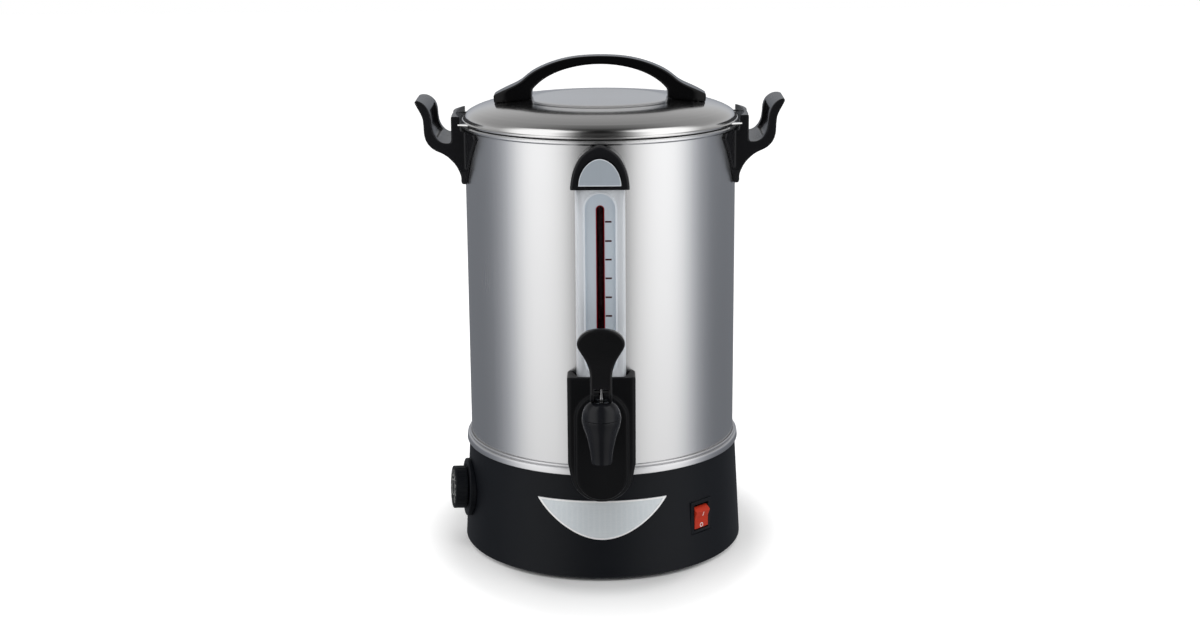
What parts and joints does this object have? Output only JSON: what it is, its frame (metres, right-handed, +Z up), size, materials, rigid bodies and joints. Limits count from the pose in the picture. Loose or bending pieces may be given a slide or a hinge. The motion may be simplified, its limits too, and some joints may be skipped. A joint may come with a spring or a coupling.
{
  "type": "coffee urn",
  "caption": "Upright steel drinks urn on a black base, with a lift-off lid, side grips, sight gauge, lever tap, thermostat knob and rocker switch.",
  "frame": {"origin": "on the tank's axis, on the surface that the urn stands on, at the feet's rest plane", "axes": "+Z up along the tank's axis, the tap faces -Y, +X to the right seen from the tap's side"},
  "size_m": [0.3424, 0.3206, 0.4617],
  "materials": {
    "brushed_steel_body": "vertical brushed stainless steel",
    "lid_steel": "satin stainless steel, glossy enough to mirror the handle",
    "bright_trim": "satin stainless steel",
    "inner_steel": "plain stainless sheet",
    "satin_plate": "satin silver with a bright rim",
    "gauge_silver": "satin silver paint on plastic",
    "cap_silver": "satin silver sheet",
    "black_plastic": "fine-grained black plastic",
    "black_gloss": "semi-gloss black phenolic",
    "tap_black": "semi-gloss black plastic",
    "knob_dial": "black with plain white figures",
    "black_rubber": "black rubber",
    "silicone": "translucent white silicone",
    "red_backing": "dark red plastic behind the tube",
    "red_rocker": "translucent red plastic",
    "clear_tube": "clear tube",
    "chrome_stem": "bright plated steel",
    "spring_steel": "bright spring steel",
    "zinc_screws": "zinc-plated steel",
    "cast_aluminium": "cast aluminium",
    "element_tube": "dull steel sheath",
    "ceramic": "off-white ceramic",
    "brown_phenolic": "brown phenolic",
    "copper_line": "copper",
    "brass_pins": "plated brass",
    "lead_sheath": "heat-proof sleeved lead"
  },
  "bodies": {
    "urn_body": {"tank_shell": "brushed_steel_body", "tank_floor": "inner_steel", "base_trim_ring": "bright_trim", "base_shell": "black_plastic", "bottom_cover": "black_plastic", "bottom_cover_screws": "zinc_screws", "rubber_feet": "black_rubber", "nameplate": "satin_plate", "heating_plate": "cast_aluminium", "heating_element": "element_tube", "element_terminals": "ceramic", "tie_studs": "zinc_screws", "stud_nuts": "zinc_screws", "heat_shield": "inner_steel", "thermal_cutout": "ceramic", "cutout_bracket": "inner_steel", "side_handle_left": "black_gloss", "side_handle_right": "black_gloss", "side_handle_screws": "zinc_screws", "gauge_cover": "gauge_silver", "gauge_scale_plate": "gauge_silver", "sight_tube": "clear_tube", "sight_tube_bushes": "silicone", "gauge_backing": "red_backing", "gauge_cap": "black_gloss", "gauge_cap_inlay": "cap_silver", "gauge_cap_screw": "zinc_screws", "tap_housing": "black_gloss", "tap_shank": "tap_black", "tap_gaskets": "silicone", "tap_shank_nut": "tap_black", "tap_body": "tap_black", "tap_bonnet": "tap_black", "knob_bezel": "black_plastic", "thermostat_body": "brown_phenolic", "thermostat_screws": "zinc_screws", "thermostat_bulb": "copper_line", "bulb_clips": "inner_steel", "switch_frame": "black_plastic", "inlet_body": "black_plastic", "inlet_pins": "brass_pins", "inlet_screws": "zinc_screws", "internal_leads": "lead_sheath"},
    "lid": {"lid_shell": "lid_steel", "lid_locating_ring": "inner_steel", "lid_seal": "black_rubber", "lid_handle": "black_gloss", "lid_handle_screws": "zinc_screws", "lid_handle_washers": "zinc_screws"},
    "valve": {"valve_stem": "chrome_stem", "valve_seat_cup": "silicone", "valve_spring": "spring_steel"},
    "lever": {"tap_lever": "tap_black", "lever_pin": "spring_steel"},
    "knob": {"thermostat_knob": "black_plastic", "knob_face": "knob_dial", "thermostat_shaft": "zinc_screws"},
    "rocker": {"switch_rocker": "red_rocker"}
  },
  "joints": [
    {"name": "lid_lift", "type": "slide", "parent": "urn_body", "child": "lid", "axis": [0, 0, 1], "range_m": [0, 0.12]},
    {"name": "valve_lift", "type": "slide", "parent": "urn_body", "child": "valve", "axis": [0, 0, 1], "range_m": [0, 0.00417], "deforming": ["valve_spring"]},
    {"name": "tap_lever", "type": "hinge", "parent": "valve", "child": "lever", "pos_m": [0, -0.171, 0.1909], "axis": [1, 0, 0], "range_deg": [0, 70], "stiffness_Nm_per_rad": 0.0139, "springref_deg": -101.13},
    {"name": "knob_turn", "type": "hinge", "parent": "urn_body", "child": "knob", "pos_m": [-0.12666, -0.02692, 0.0548], "axis": [-0.9766, -0.2076, 0.0556], "range_deg": [-270, 0]},
    {"name": "rocker_tilt", "type": "hinge", "parent": "urn_body", "child": "rocker", "pos_m": [0.08646, -0.08829, 0.0479], "axis": [0.7145, 0.6997, 0], "range_deg": [-20, 0]}
  ],
  "couplings": [
    {"joint": "valve_lift", "follows": "tap_lever", "m_per_rad": 0.0034}
  ]
}
